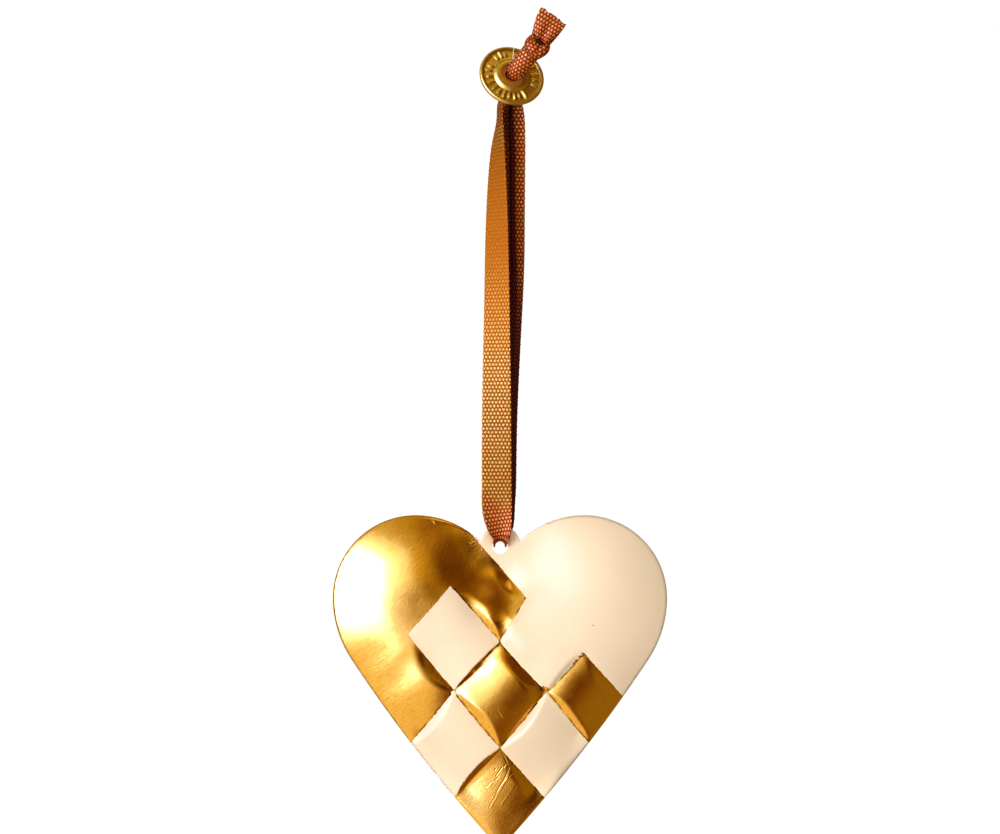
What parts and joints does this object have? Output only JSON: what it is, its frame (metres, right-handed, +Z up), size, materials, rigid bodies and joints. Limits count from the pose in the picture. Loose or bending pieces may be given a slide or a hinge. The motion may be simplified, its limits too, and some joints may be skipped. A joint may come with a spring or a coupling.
{
  "type": "braided metal heart ornament",
  "caption": "Flat hanging heart of pressed, painted sheet metal with a gold and cream woven relief, on a ribbon loop knotted through a small round metal disc.",
  "frame": {"origin": "where the ornament hangs: in the top of the ribbon's loop, just under the disc", "axes": "+Z up along the ribbon, the heart's front faces -Y, +X to the heart's cream side"},
  "size_m": [0.0788, 0.0155, 0.1965],
  "materials": {
    "painted_sheet": "cream satin enamel with brushed gold paint on the gold strips and the left lobe",
    "ribbon_cloth": "copper-coloured ribbed weave with metallic dots",
    "disc_brass": "stamped olive-gold brass, glossy"
  },
  "bodies": {
    "root": {"heart": "painted_sheet", "ribbon": "ribbon_cloth", "disc": "disc_brass"}
  },
  "joints": []
}
